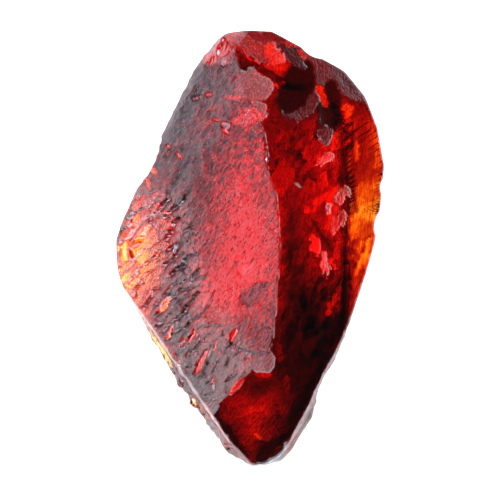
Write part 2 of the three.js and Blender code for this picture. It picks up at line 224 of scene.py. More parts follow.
def planes_of_the_stone():
    """The outward unit normals of all faces and walls, and how far each lies from the origin."""
    normals, points = [], []
    for at, (right, up) in FRONT_FACES.values():
        normals.append((-right, -up, 1.0))
        points.append(at)
    for at, (right, up) in BACK_FACES.values():
        normals.append((right, up, -1.0))
        points.append(at)
    corners = [(on_stone(pixel), lean) for pixel, lean in GIRDLE]
    for (corner, lean), (following, _) in zip(corners, corners[1:] + corners[:1]):
        outward = np.array((corner[1] - following[1], following[0] - corner[0]))
        outward /= np.hypot(*outward)
        normals.append((*outward, lean))
        points.append((*corner, GIRDLE_FOOT))
    normals = np.array(normals)
    normals /= np.linalg.norm(normals, axis=1, keepdims=True)
    return normals, (normals * np.array(points)).sum(axis=1)


def face_height(front, x, y):
    """Height over a point of the plan: the lowest of the front faces there, or the highest of the
    back ones."""
    faces = FRONT_FACES if front else BACK_FACES
    heights = [at[2] + rise[0] * (x - at[0]) + rise[1] * (y - at[1]) for at, rise in faces.values()]
    return min(heights) if front else max(heights)


def turning(start, end):
    """The turn that carries one unit vector to another, as a 3 x 3 matrix: 1, plus the skew matrix
    of their cross product, plus the square of that over 1 plus their dot product."""
    across = np.cross(start, end)
    skew = np.array([
        (0, -across[2], across[1]), (across[2], 0, -across[0]), (-across[1], across[0], 0),
    ])
    return np.eye(3) + skew + skew @ skew / (1 + start @ end)


def about_z(degrees):
    """A turn about the upright axis, as a 3 x 3 matrix."""
    c, s = math.cos(math.radians(degrees)), math.sin(math.radians(degrees))
    return np.array([(c, -s, 0), (s, c, 0), (0, 0, 1)])


def bite(front, at, size, depth, turn):
    """The ellipsoid that takes a spoon out of a face: its middle, and the matrix that makes it a
    unit ball. Its middle stands out of the face by the spoon's depth and its half height is twice
    that, so that it meets the face on an ellipse of the given size."""
    x, y = at
    near = 0.05  # how far off the slope of the face is measured
    slope_x = (face_height(front, x + near, y) - face_height(front, x - near, y)) / (2 * near)
    slope_y = (face_height(front, x, y + near) - face_height(front, x, y - near)) / (2 * near)
    up = np.array((0.0, 0.0, 1.0 if front else -1.0))
    outward = np.array((-slope_x, -slope_y, 1.0)) * up[2]
    outward /= np.linalg.norm(outward)
    rim = math.sqrt(0.75)  # the half width of a unit ball at half its height
    half = np.array((size[0] / rim, size[1] / rim, 2 * depth))
    middle = np.array((x, y, face_height(front, x, y))) + outward * depth
    return middle, np.diag(1 / half) @ (turning(up, outward) @ about_z(turn)).T


def notch(at, half, turn):
    """An upright ellipsoid cut square to the plan, in the same terms as a bite."""
    return np.array(at), np.diag(1 / np.array(half)) @ about_z(turn).T


# The grid of the stone's surface. A row runs round the stone and a column runs from the tip to
# the shoulder. A ray leaves the spine for each point of the grid.
ROWS = 350
COLUMNS = 282
SPINE_HALF = 7.0  # half the length of the spine
SPINE_MIDDLE = (0.6, 7.3)  # its place from left to right, and its height
SPINE_SLANT = (0.03, 0.06)  # how far it moves to the right and climbs, a millimetre to the shoulder
MIDDLE_SHARE = 0.75  # how far the rows are spread evenly from tip to shoulder, and not by a cube
FRONT_EDGE = math.pi / 2 + 0.24  # the turn from straight up at which the front's side edges lie
CEILING_EDGE = math.pi / 2 + 0.42  # and at which the ceilings of the breaks lie
BACK_CLOSENESS = 0.3  # how close the columns stand on the back
FRONT_CLOSENESS = 0.45  # added on the front, and a little beyond its edges
CLOSENESS_HUMPS = [  # added round a turn from straight up: the peak, that turn and the width
    (0.8, FRONT_EDGE - 0.45, 0.5), (1.6, FRONT_EDGE, 0.1), (2.0, CEILING_EDGE, 0.08),
]
FAR = 1e3  # farther than anything here, in millimetres or in cells of a lattice


def turns():
    """The turn of each column about the spine, from +X over the front. The columns stand close at
    the two edges of the front and on its sides, wider on its middle and widest on the back: each
    has an equal part of the integral of their closeness, a level with a few Gaussian humps."""
    turn = np.linspace(-np.pi / 2, 1.5 * np.pi, 4001)
    side = np.abs((turn - np.pi / 2 + np.pi) % (2 * np.pi) - np.pi)  # 0 straight up
    closeness = BACK_CLOSENESS + FRONT_CLOSENESS * (side < FRONT_EDGE + 0.55)
    for peak, at, width in CLOSENESS_HUMPS:
        closeness += peak * np.exp(-(((side - at) / width) ** 2))
    total = np.concatenate([[0.0], np.cumsum((closeness[1:] + closeness[:-1]) / 2)])
    return np.interp(np.arange(COLUMNS) / COLUMNS * total[-1], total, turn)[None, :]


def rays():
    """Starts and directions of the rays. Along the stone, the start moves on the spine by the
    sine of the tilt, while the ray tilts from the tip to the shoulder by a half turn."""
    v = np.linspace(-1, 1, ROWS + 1)[:, None]
    turn = turns()
    tilt = (MIDDLE_SHARE * v + (1 - MIDDLE_SHARE) * v**3) * np.pi / 2
    directions = np.stack(np.broadcast_arrays(
        np.cos(tilt) * np.cos(turn), np.sin(tilt) + 0 * turn, np.cos(tilt) * np.sin(turn),
    ), axis=-1)
    along = SPINE_HALF * np.sin(tilt)
    across, height = (SPINE_MIDDLE[k] + SPINE_SLANT[k] * along for k in range(2))
    starts = np.stack(np.broadcast_arrays(
        across + 0 * turn, along + 0 * turn, height + 0 * turn,
    ), axis=-1)
    return starts, directions


def soft_least(values, softness):
    """The least of several arrays, rounded where two of them meet: minus the softness times the
    logarithm of the sum of exp(-value / softness)."""
    least = values.min(axis=-1)
    spread = np.exp(-(values - least[..., None]) / softness).sum(axis=-1)
    return least - softness * np.log(spread)


def reach_of_bite(starts, directions, middle, to_ball):
    """How far each ray goes before it enters an ellipsoid, or FAR where it misses: the smaller root
    of |start + t direction| = 1 in the space where the ellipsoid is a ball."""
    o = (starts - middle) @ to_ball.T
    d = directions @ to_ball.T
    a = (d * d).sum(axis=-1)
    b = (o * d).sum(axis=-1)
    c = (o * o).sum(axis=-1) - 1
    inner = b * b - a * c
    root = (-b - np.sqrt(np.maximum(inner, 0))) / a
    return np.where((inner > 0) & (root > 0), root, FAR)


def reach_of_break(starts, directions, top, rises, wall, facing, draw):
    """How far each ray goes before it enters the space below the ceilings and before the wall, or
    FAR where it misses. It enters by the last plane that it crosses inwards, if that comes before
    the first plane that it crosses outwards."""
    turn = math.radians(facing)
    planes = [((-right, -up, 1.0), top) for right, up in rises]
    planes.append(((-math.cos(turn), -math.sin(turn), draw), wall))
    entry, leave = np.full(directions.shape[:-1], -FAR), np.full(directions.shape[:-1], FAR)
    for normal, at in planes:
        speed = directions @ np.array(normal)
        speed = np.where(np.abs(speed) < 1e-9, 1e-9, speed)
        there = (np.array(at) - starts) @ np.array(normal) / speed
        entry = np.where(speed < 0, np.maximum(entry, there), entry)
        leave = np.where(speed > 0, np.minimum(leave, there), leave)
    return np.where((entry > 0) & (entry < leave), entry, FAR)


def corner_numbers(corner, seed):
    """Three scattered numbers from -1 to 1 for each whole-number corner of space: the corner's
    numbers and the seed, multiplied by large primes, joined, and mixed by shifts and products."""
    words = corner.astype(np.int64).astype(np.uint32)
    mixed = (
        words[..., 0] * np.uint32(73856093)
        ^ words[..., 1] * np.uint32(19349663)
        ^ words[..., 2] * np.uint32(83492791)
        ^ np.uint32(seed * 2654435761 % 2**32)
    )
    out = []
    for _ in range(3):
        mixed = (mixed ^ (mixed >> np.uint32(15))) * np.uint32(2246822519)
        mixed = (mixed ^ (mixed >> np.uint32(13))) * np.uint32(3266489917)
        mixed = mixed ^ (mixed >> np.uint32(16))
        out.append(mixed.astype(np.float64) / 2**31 - 1)
    return np.stack(out, axis=-1)


def smooth_noise(points, seed):
    """Gradient noise from about -1 to 1: at each corner of a unit lattice a scattered slope, and
    between the corners their planes blended by the quintic 6t^5 - 15t^4 + 10t^3."""
    base = np.floor(points)
    part = points - base
    blend = part**3 * (part * (part * 6 - 15) + 10)
    total = 0.0
    for corner in itertools.product((0.0, 1.0), repeat=3):
        slope = corner_numbers(base + corner, seed)
        weight = np.where(corner, blend, 1 - blend).prod(axis=-1)
        total = total + weight * (slope * (part - corner)).sum(axis=-1)
    return total


def layered_noise(points, seed, layers):
    """Layers of smooth noise, each half as high as the one before and 2.03 times as fine, so that
    their lattices don't line up."""
    return sum(smooth_noise(points * 2.03**i, seed + i) / 2**i for i in range(layers))


def along_grain(points, grain, length, width):
    """Points of the plan in cells that are stretched along a direction, in degrees from +X."""
    c, s = math.cos(math.radians(grain)), math.sin(math.radians(grain))
    x, y = points[..., 0], points[..., 1]
    return np.stack([(x * c + y * s) / length, (y * c - x * s) / width, 0 * x], axis=-1)


BOWL_SCATTER = 0.42  # how far a bowl's middle strays in its cell, of the cell's size
BOWL_TILT = 0.22
BOWL_RISE = 0.14
CELL_SCATTER = 0.45  # how far the middle of any other cell strays


def scallops(points, grain, length, width, seed):
    """Shallow bowls side by side, with a sharp ridge where two meet: over the jittered cells of a
    stretched lattice, the least of squared distance plus a scattered height and tilt. It is about
    0 at the bottom of a deep bowl and 0.6 on a high ridge."""
    q = along_grain(points, grain, length, width)
    base = np.floor(q)
    least = np.full(q.shape[:-1], FAR)
    for right, up in itertools.product((-1, 0, 1), repeat=2):
        cell = base + (right, up, 0)
        numbers = corner_numbers(cell, seed)
        off = (q - cell)[..., :2] - 0.5 - BOWL_SCATTER * numbers[..., :2]
        tilt = BOWL_TILT * (off * np.sin(7 * numbers[..., 1:])).sum(axis=-1)
        least = np.minimum(least, (off**2).sum(axis=-1) + BOWL_RISE * numbers[..., 2] + tilt)
    return least + BOWL_RISE


def nearest_cell(points, grain, length, width, seed):
    """The nearest cell of a jittered, stretched lattice: its three scattered numbers from -1 to 1,
    the place in it, from about -0.5 to 0.5 along the grain and across it, and how much farther
    the next cell is, which is 0 on the border."""
    q = along_grain(points, grain, length, width)
    base = np.floor(q)
    nearest, second = np.full(q.shape[:-1], FAR), np.full(q.shape[:-1], FAR)
    own, place = np.zeros(q.shape), np.zeros((*q.shape[:-1], 2))
    for right, up in itertools.product((-1, 0, 1), repeat=2):
        cell = base + (right, up, 0)
        numbers = corner_numbers(cell, seed)
        off = (q - cell)[..., :2] - 0.5 - CELL_SCATTER * numbers[..., :2]
        away = (off**2).sum(axis=-1)
        closer = (away < nearest)[..., None]
        own, place = np.where(closer, numbers, own), np.where(closer, off, place)
        second = np.minimum(second, np.maximum(nearest, away))
        nearest = np.minimum(nearest, away)
    return own, place, np.sqrt(second) - np.sqrt(nearest)


def flakes(points, grain, length, width, seed):
    """The splintered look of a fracture, from 0 to 1: each cell has a scattered level, and shades
    off across the cell by a scattered slope."""
    own, place, _ = nearest_cell(points, grain, length, width, seed)
    slope = (place * np.sin(9 * own[..., 1:])).sum(axis=-1)
    return np.clip(0.5 + 0.5 * (own[..., 2] + slope), 0, 1)


PLATE_SCATTER = 0.45  # of the levels
PLATE_CLIMB = 1.1
PLATE_ROUNDING = 0.9


def plates(points, grain, length, width, seed):
    """Overlapping plates, from about -1 to 1: each cell has a scattered level, climbs against the
    across direction and is rounded by its squared distance, so that it ends in a step."""
    own, place, _ = nearest_cell(points, grain, length, width, seed)
    rounding = PLATE_ROUNDING * (place**2).sum(axis=-1)
    return PLATE_SCATTER * own[..., 2] - PLATE_CLIMB * place[..., 1] - rounding


def grid_normals(points, directions):
    """Outward unit normals of the grid: the cross product of its steps round and along."""
    around = np.roll(points, -1, axis=1) - np.roll(points, 1, axis=1)
    square = np.cross(np.gradient(points, axis=0), around)
    square /= np.maximum(np.linalg.norm(square, axis=-1, keepdims=True), 1e-9)
    flip = np.sign((square * directions).sum(axis=-1, keepdims=True))
    return np.where(flip == 0, directions, square * flip)


starts, directions = rays()
normals, distances = planes_of_the_stone()
face_names = list(FRONT_FACES) + list(BACK_FACES)

# Every plane's distance along each ray. A slow unevenness keeps each from being quite flat, and
# makes the edges between them wander.
EDGE_SOFTNESS = 0.025
UNEVEN = 0.12
UNEVEN_SPACING = 0.42  # waves of that unevenness a millimetre
LEAST_CLIMB = 1e-3  # a ray that nears a plane more slowly than this misses it
climb = directions @ normals.T
gap = distances - starts @ normals.T
plane_reach = np.where(climb > LEAST_CLIMB, gap / np.maximum(climb, LEAST_CLIMB), FAR)
guess = starts + directions * plane_reach.min(axis=-1)[..., None]
for k in range(len(FRONT_FACES)):
    plane_reach[..., k] += UNEVEN * layered_noise(guess * UNEVEN_SPACING, 100 + 7 * k, 2)


def between(values, none, full):
    """0 up to one value, 1 from another on, and the smooth step 3t^2 - 2t^3 between them. The
    first may be the larger one."""
    t = np.clip((values - none) / (full - none), 0, 1)
    return t * t * (3 - 2 * t)


# The ridge steps to the right where the upper third of the stone ends, since the right face lies
# farther out below there
KINK_REACH = 0.5
kink = between(guess[..., 1], 5.6, 3.4) * between(guess[..., 0], 6.0, 2.0)
plane_reach[..., face_names.index("right face")] += KINK_REACH * kink
reach = soft_least(plane_reach, EDGE_SOFTNESS)

# How much each face shares in a point of the surface
SHARE_FADE = 0.1
share = np.exp(-(plane_reach - plane_reach.min(axis=-1, keepdims=True)) / SHARE_FADE)
share /= share.sum(axis=-1, keepdims=True)


def shared(*names):
    """The weight of the named faces at each point of the grid."""
    return sum(share[..., face_names.index(name)] for name in names)


walls = share[..., len(face_names):].sum(axis=-1)
lobe = shared("left lobe")
foot = shared("foot of the left lobe")
main = shared("main face", "upper left face", "left rim")
satin_faces = main + lobe + foot
margins = shared("right margin", "upper right margin")
glassy = shared("right face", "lower right face", "right shoulder") + margins
tip = shared("tip face", "face right of the tip")
behind = shared(*BACK_FACES)

# The hollows, dents and breaks cut in. A point of the surface is undercut where one of the dents,
# breaks or hollows of the back made it.
for hollow in HOLLOWS:
    reach = np.minimum(reach, reach_of_bite(starts, directions, *bite(True, *hollow)))
dents = [bite(False, *hollow) for hollow in BACK_HOLLOWS] + [notch(*dent) for dent in NOTCHES]
cuts = [reach_of_bite(starts, directions, *dent) for dent in dents]
cuts += [reach_of_break(starts, directions, *sides) for sides in BREAKS.values()]
cut_reach = np.min(cuts, axis=0)
undercut = (cut_reach < reach).astype(float)
reach = np.minimum(reach, cut_reach)
smooth_points = starts + directions * reach[..., None]
plan = smooth_points[..., :2]
to_right, to_shoulder, height = (smooth_points[..., k] for k in range(3))

# What makes lines and the edges of marks ragged: a slow wander of the plan, and jags that follow
# the splinters
SPLINTER_GRAIN = 66  # degrees from +X
BEND = 0.1
wander = np.stack([
    layered_noise(smooth_points * 1.1 + 40 * k, 61 + k, 3) for k in range(2)
], axis=-1)
bent = plan + BEND * wander
jags = np.stack([
    flakes(bent, SPLINTER_GRAIN, 0.5, 0.26, 75 + k) - 0.5 for k in range(2)
], axis=-1)


def oval(at, half, turn, ragged, jagged=0.0):
    """Distance from the middle of a ragged or jagged oval in plan, in which its edge lies at 1. Its
    middle and half its length and width are given in pixels."""
    middle = on_stone(at)
    half_length, half_width = (millimetres(length) for length in half)
    c, s = math.cos(math.radians(turn)), math.sin(math.radians(turn))
    x, y = (plan[..., k] + ragged * wander[..., k] + jagged * jags[..., k] - middle[k] for k in range(2))
    return np.hypot((x * c + y * s) / half_length, (y * c - x * s) / half_width)


def off_line(pixels, ragged):
    """Distance in plan from a ragged line through some pixels, in millimetres, and how far along
    it, from 0 to 1."""
    corners = [on_stone(pixel) for pixel in pixels]
    here = plan + ragged * wander
    nearest = np.full(here.shape[:-1], FAR)
    along = np.zeros(here.shape[:-1])
    for k, (start, end) in enumerate(zip(corners[:-1], corners[1:])):
        span = np.subtract(end, start)
        part = np.clip((here - start) @ span / (span @ span), 0, 1)
        off = np.linalg.norm(here - start - part[..., None] * span, axis=-1)
        along = np.where(off < nearest, (k + part) / (len(corners) - 1), along)
        nearest = np.minimum(nearest, off)
    return nearest, along


TOWARDS_LIGHT = np.array((-0.9, 0.44))  # in plan


def lit_side(relief_at, places, apart):
    """How much a relief faces the light: how far it falls towards the light, over a short way."""
    ahead = relief_at(places + apart * TOWARDS_LIGHT)
    return (relief_at(places - apart * TOWARDS_LIGHT) - ahead) / (2 * apart)


def etched_plates(places):
    """The etched plates of the lobe, with small bowls in them."""
    small = scallops(places, GRAIN + 8, 0.5, 0.34, 22)
    return PLATE_RELIEF * plates(places, *PLATES) + PLATE_BOWLS * (small - BOWL_MEAN)


# Relief, in millimetres along the outward normal. The mean of bowls is taken off, so that a face
# with bowls stays where it is.
GRAIN = 56.0  # the direction of growth in the satin faces, in degrees from +X
BOWL_MEAN = 0.3
SATIN_WAVES = 0.02
relief = SATIN_WAVES * satin_faces * layered_noise(smooth_points * 0.8, 11, 2)

# The lobe has plates, and creases along some of their borders, which its foot shares on its left.
# Plates and creases end short of the outline.
PLATES = (GRAIN - 8, 0.85, 0.58, 21)  # their grain, length, width and seed
PLATE_RELIEF = 0.2
PLATE_BOWLS = 0.14
CREASE_DEPTH = 0.06
pillows = etched_plates(bent)
plate_numbers, _, off_border = nearest_cell(bent, *PLATES)
crease = between(off_border, 0.17, 0.05) * between(wander.sum(axis=-1), -0.5, 0.1)
crease *= lobe + 0.6 * foot * between(to_right, -2.2, -3.6)
inner = between(np.abs(to_right), 9.3, 8.3)
relief += inner * (lobe * pillows - CREASE_DEPTH * crease)

# Its foot has low plates and long slashes along the grain
FOOT_PLATES = 0.3  # of the relief on the lobe
SLASH_RELIEF = 0.22
slashes = scallops(bent, GRAIN + 6, 1.9, 0.5, 23)
relief += foot * (FOOT_PLATES * pillows + SLASH_RELIEF * (slashes - BOWL_MEAN))

# The main face has fine streaks and pits along the grain, deeper towards the shoulder, and swells
STREAK_RELIEF = 0.04
PIT_RELIEF = 0.12
UPPER_PIT_RELIEF = 0.1  # added towards the shoulder
SWELL_RELIEF = 0.07
streaks = layered_noise(along_grain(plan, GRAIN, 0.9, 0.2), 31, 3)
pits = scallops(bent, GRAIN, 0.62, 0.3, 24)
swell = smooth_noise(smooth_points * 0.9, 37)
upper_satin = between(to_shoulder, 2.0, 6.0)
pit_relief = PIT_RELIEF + UPPER_PIT_RELIEF * upper_satin
relief += main * (STREAK_RELIEF * streaks + pit_relief * (pits - BOWL_MEAN) + SWELL_RELIEF * swell)

# The back has bowls and the walls have waves, except where they are cut. The resting face is flat.
BACK_BOWLS = 0.1
WALL_WAVES = 0.035
LOW_WALL_WAVES = 0.08  # added towards the tip
uncut = 1 - undercut
back_bowls = scallops(plan, 30, 1.8, 1.3, 42)
relief += BACK_BOWLS * (behind - shared("resting face")) * uncut * (back_bowls - BOWL_MEAN)
low_walls = between(to_shoulder, -2.5, -7.0)
wall_waves = layered_noise(smooth_points * (1.6, 1.6, 0.9), 51, 3)
relief += (WALL_WAVES + LOW_WALL_WAVES * low_walls) * walls * uncut * wall_waves

# A ragged lip runs round the foot of the lower walls, where the stone ends in a thin ledge
LIP_FOOT = 2.7
LIP_TOP = 3.9
LIP_FADE = 0.4
LIP_REACH = 0.55
low_left = between(to_shoulder, -2.8, -8.5) * between(to_right, 0.4, -1.1)
low_right = 0.5 * between(to_shoulder, -9.6, -12.0) * between(to_right, 1.0, 2.0)
above_foot = between(height, LIP_FOOT, LIP_FOOT + LIP_FADE)
under_top = between(height, LIP_TOP, LIP_TOP - LIP_FADE)
ragged = 0.75 + 0.5 * layered_noise(smooth_points * 1.7, 55, 2)
lip = walls * np.maximum(low_left, low_right) * above_foot * under_top * ragged
relief += LIP_REACH * lip

# How much light comes through. 0 is none and 1 is all of it, and a few of the lights and marks
# below go above 1, so that they glow. Each face has a level of its own, and the walls are brighter
# on the lower left. The back and the cuts under the stone let all of it through.
FACE_LIGHT = {
    "main face": 0.23, "right face": 0.28, "lower right face": 0.05, "tip face": 0.21,
    "face right of the tip": 0.1, "left lobe": 0.17, "foot of the left lobe": 0.15,
    "upper left face": 0.11, "left rim": 0.1, "shoulder": 0.22, "right shoulder": 0.12,
    "right margin": 0.5, "upper right margin": 0.2,
}
WALL_LIGHT = 0.45
LIP_LIGHT = 0.9
light = (share[..., :len(FRONT_FACES)] * list(FACE_LIGHT.values())).sum(axis=-1)
light += behind + walls * WALL_LIGHT + lip * (LIP_LIGHT - WALL_LIGHT)
light += (0.6 * walls + 1.5 * lip) * low_left
below = np.maximum(undercut, walls * between(height, LIP_FOOT + LIP_FADE, LIP_FOOT - 0.2))
light += below * (1 - light)

# How etched it is, from 0 for glass to 1 for satin. The satin faces blend into each other by their
# mean, and end sharply against the others. The walls are rougher towards the tip, and smoother on
# the lower left.
LOBE_SATIN = 0.62
WALL_SATIN = 0.3
BACK_SATIN = 0.5
mean_satin = (main + LOBE_SATIN * (lobe + foot)) / np.maximum(satin_faces, 0.01)
etched = between(satin_faces, 0.3, 0.55) * mean_satin
etched += walls * (WALL_SATIN + 0.45 * low_walls - 0.35 * low_left) + BACK_SATIN * behind - 0.7 * lip
etched *= 1 - 0.7 * below

# Soft lights and shadows in the stone: the middle and half the length and width, in pixels, where
# they have faded to half, the turn of the length from +X, and the light there.
SOFT_LIGHTS = {
    "heart of the main face": ((250, 236), (60, 25), 85, 1.85),
    "heart, lower part": ((226, 278), (38, 18), 65, 1.4),
    "left of the heart": ((214, 232), (34, 12), 70, 0.62),
    "upper left": ((206, 126), (20, 12), 50, 0.34),
    "ridge, upper part": ((248, 110), (36, 13), 95, 0.38),
    "ridge, below the kink": ((262, 200), (22, 9), 100, 0.62),
    "lower main face": ((244, 335), (30, 18), 60, 0.34),
    "foot of the satin": ((212, 368), (36, 22), 60, 0.1),
    "edge of the lobe": ((131, 248), (46, 14), 85, 0.7),
    "glow of the rim": ((126, 252), (15, 6), 95, 1.1),
    "lobe": ((150, 254), (44, 18), 75, 0.7),
    # painted shade: less light along this edge of the lobe
    "dim edge of the lobe": ((124, 226), (14, 6), 65, 0.35),
    "pink of the lobe": ((168, 230), (24, 10), 80, 0.85),
    "shoulder, right": ((274, 62), (16, 10), 150, 0.8),
    "shoulder, left crest": ((225, 47), (18, 10), 35, 0.65),
    "dark column": ((292, 250), (70, 11), 92, 0.07),
    "kink": ((276, 178), (14, 12), 80, 0.55),
    "right face, upper": ((338, 150), (30, 14), 80, 0.7),
    "right face, middle": ((334, 212), (50, 17), 85, 0.68),
    "right face, lower": ((324, 270), (28, 9), 84, 0.32),
    "margin, upper": ((360, 156), (32, 10), 90, 0.26),
    "upper rim": ((340, 76), (40, 12), -50, 0.1),
    "orange of the rim": ((373, 138), (13, 5), 100, 0.8),
    "margin, glow": ((366, 206), (20, 8), 80, 1.05),
    "margin, lower": ((360, 250), (34, 9), 85, 0.66),
    "lower right": ((302, 350), (60, 26), 75, 0.02),
    "tip": ((258, 412), (19, 15), 95, 0.55),
    "tip, upper": ((254, 386), (22, 8), 5, 0.1),
}
AMBER = ((134, 240), (40, 17), 82)  # the part of the lobe that is worn smooth, in the same terms
WEAR = 0.6
SOFT_RAGGED = 0.25
SOFT_FADE = 0.7


def soft_oval(at, half, turn):
    """The weight of a soft, ragged oval: exp(-0.7 d^2), which is about a half where d is 1."""
    return np.exp(-SOFT_FADE * oval(at, half, turn, SOFT_RAGGED) ** 2)


worn = lobe * soft_oval(*AMBER)
etched *= 1 - WEAR * worn
relief *= 1 - WEAR * worn
upper = (1 - behind) * (1 - below)  # 1 on all that is seen from above
for *place, level in SOFT_LIGHTS.values():
    light += upper * soft_oval(*place) * (level - light)

# Splinters break the light up on the glassy faces, less on their margins, and at the tip. Each mix
# is what the light is multiplied by: a base, coarse splinters to a power, and fine ones.
GLASSY_MIX = {"base": 0.02, "coarse": 1.35, "power": 1.7, "fine": 0.75}
TIP_MIX = {"base": 0.5, "coarse": 0.75, "power": 1.0, "fine": 0.1}
splinters = flakes(plan + 0.16 * wander, SPLINTER_GRAIN, 1.25, 0.6, 71)
fine_splinters = flakes(bent, 58, 0.5, 0.28, 72)
tip_splinters = flakes(plan + 0.2 * wander, 20, 1.3, 0.7, 73)
rough_break = glassy - 0.6 * margins
for mix, faces, coarse in ((GLASSY_MIX, rough_break, splinters), (TIP_MIX, tip, tip_splinters)):
    factor = mix["base"] + mix["coarse"] * coarse ** mix["power"] + mix["fine"] * fine_splinters
    light *= 1 + faces * (factor - 1)

# Creases are dark, the bottoms of pits and streaks too, and short slashes low on the satin are pale
CREASE_SHADE = 0.35
PIT_SHADE = 2.4
STREAK_SHADE = 0.6
SLASH_LIGHT = 0.6
SLASH_COVER = 0.75
narrow_bowls = scallops(bent, GRAIN + 8, 0.95, 0.2, 27)
slash = between(narrow_bowls, 0.2, 0.12) * between(wander[..., 1] - wander[..., 0], -0.1, 0.4)
slash *= foot + 0.5 * main * between(to_shoulder, -3.0, -6.0)
slash *= between(to_shoulder, -2.5, -4.5)
light *= 1 - CREASE_SHADE * crease
light *= 1 + main * upper_satin * np.clip(PIT_SHADE * (pits - 0.35), -0.6, 0.5)
light *= 1 + main * np.clip(STREAK_SHADE * streaks, -0.4, 0.4)
light += SLASH_COVER * slash * (SLASH_LIGHT - light)

# Each plate of the lobe has its own level, and is bright towards the light and dark behind
PLATE_CONTRAST = 0.45
SIDE_CONTRAST = 0.4
FAR_SIDE_SHADE = 0.5
facing = lit_side(etched_plates, bent, 0.1)
shaded = (lobe + 0.8 * foot) * between(facing, -0.25, -0.9)
light *= 1 + PLATE_CONTRAST * (lobe + 0.5 * foot) * plate_numbers[..., 0]
light *= 1 + (lobe + 0.6 * foot) * np.clip(SIDE_CONTRAST * facing, -0.3, 0.35)
light *= 1 - FAR_SIDE_SHADE * shaded
etched -= 0.5 * slash + 0.2 * crease + 0.35 * shaded  # all three are smoother than the satin

